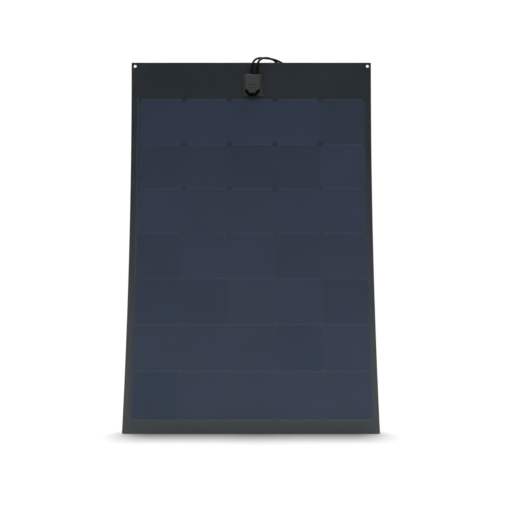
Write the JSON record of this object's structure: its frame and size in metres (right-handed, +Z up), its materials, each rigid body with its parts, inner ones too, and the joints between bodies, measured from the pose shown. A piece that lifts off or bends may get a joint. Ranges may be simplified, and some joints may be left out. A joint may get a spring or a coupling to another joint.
{
  "type": "flexible solar sheet",
  "caption": "Thin bendable solar sheet with a grid of dark back-contact cells, a junction box at its top edge, two leads with connectors, and a hanging hole in each top corner.",
  "frame": {"origin": "midway between the centres of the two hanging holes, on the rear face of the sheet", "axes": "-Y out of the front face at the top margin, +X across to the viewer's right, +Z up the sheet"},
  "size_m": [0.672, 0.1814, 1.0253],
  "materials": {
    "board": "black glass-fibre backing board, fine weave, matt",
    "encapsulant": "black encapsulant, satin",
    "film": "clear textured front film, satin",
    "cell": "back-contact silicon with blue-black anti-reflective coat",
    "ribbon": "tinned copper, dull",
    "box": "dark grey-green moulding, fine spark texture",
    "diode": "black epoxy",
    "boot": "black moulded rubber",
    "jacket": "black cable jacket, satin",
    "connector": "black moulded connector, satin"
  },
  "bodies": {
    "upper_sheet": {"backing_board_upper": "board", "rear_encapsulant": "encapsulant", "front_film": "film", "cell_r1_c1": "cell", "cell_r1_c2": "cell", "cell_r1_c3": "cell", "cell_r1_c4": "cell", "cell_r1_c5": "cell", "cell_r2_c1": "cell", "cell_r2_c2": "cell", "cell_r2_c3": "cell", "cell_r2_c4": "cell", "cell_r2_c5": "cell", "cell_r3_c1": "cell", "cell_r3_c2": "cell", "cell_r3_c3": "cell", "cell_r3_c4": "cell", "cell_r3_c5": "cell", "cell_r4_c1": "cell", "cell_r4_c2": "cell", "cell_r4_c3": "cell", "cell_r4_c4": "cell", "cell_r4_c5": "cell", "link_top_1_2": "ribbon", "link_top_3_4": "ribbon", "ribbon_negative": "ribbon", "ribbon_positive": "ribbon", "junction_box_base": "box", "terminal_negative": "ribbon", "terminal_tap": "ribbon", "terminal_positive": "ribbon", "bypass_diode_1": "diode", "bypass_diode_2": "diode", "strain_relief_negative": "boot", "strain_relief_positive": "boot", "cable_negative": "jacket", "cable_positive": "jacket", "plug_body": "connector", "socket_body": "connector"},
    "lower_sheet": {"backing_board_lower": "board", "cell_r5_c1": "cell", "cell_r5_c2": "cell", "cell_r5_c3": "cell", "cell_r5_c4": "cell", "cell_r5_c5": "cell", "cell_r6_c1": "cell", "cell_r6_c2": "cell", "cell_r6_c3": "cell", "cell_r6_c4": "cell", "cell_r6_c5": "cell", "cell_r7_c1": "cell", "cell_r7_c2": "cell", "cell_r7_c3": "cell", "cell_r7_c4": "cell", "cell_r7_c5": "cell", "link_bottom_2_3": "ribbon", "link_bottom_4_5": "ribbon"},
    "lid": {"junction_box_lid": "box"},
    "plug_nut": {"plug_nut": "connector"},
    "socket_nut": {"socket_nut": "connector"}
  },
  "joints": [
    {"name": "sheet_bend", "type": "hinge", "parent": "upper_sheet", "child": "lower_sheet", "pos_m": [0, -0.04843, -0.59552], "axis": [1, 0, 0], "range_deg": [-13, 16], "stiffness_Nm_per_rad": 30, "deforming": ["front_film", "rear_encapsulant", "ribbon_negative"]},
    {"name": "lid_off", "type": "slide", "parent": "upper_sheet", "child": "lid", "axis": [0, -1, 0], "range_m": [0, 0.03]},
    {"name": "plug_nut_turn", "type": "hinge", "parent": "upper_sheet", "child": "plug_nut", "pos_m": [0.0893, 0.0189, -0.6865], "axis": [0, 0, 1], "range_deg": [0, 1080]},
    {"name": "socket_nut_turn", "type": "hinge", "parent": "upper_sheet", "child": "socket_nut", "pos_m": [0.1215, 0.0291, -0.646], "axis": [0, 0, 1], "range_deg": [0, 1080]}
  ]
}
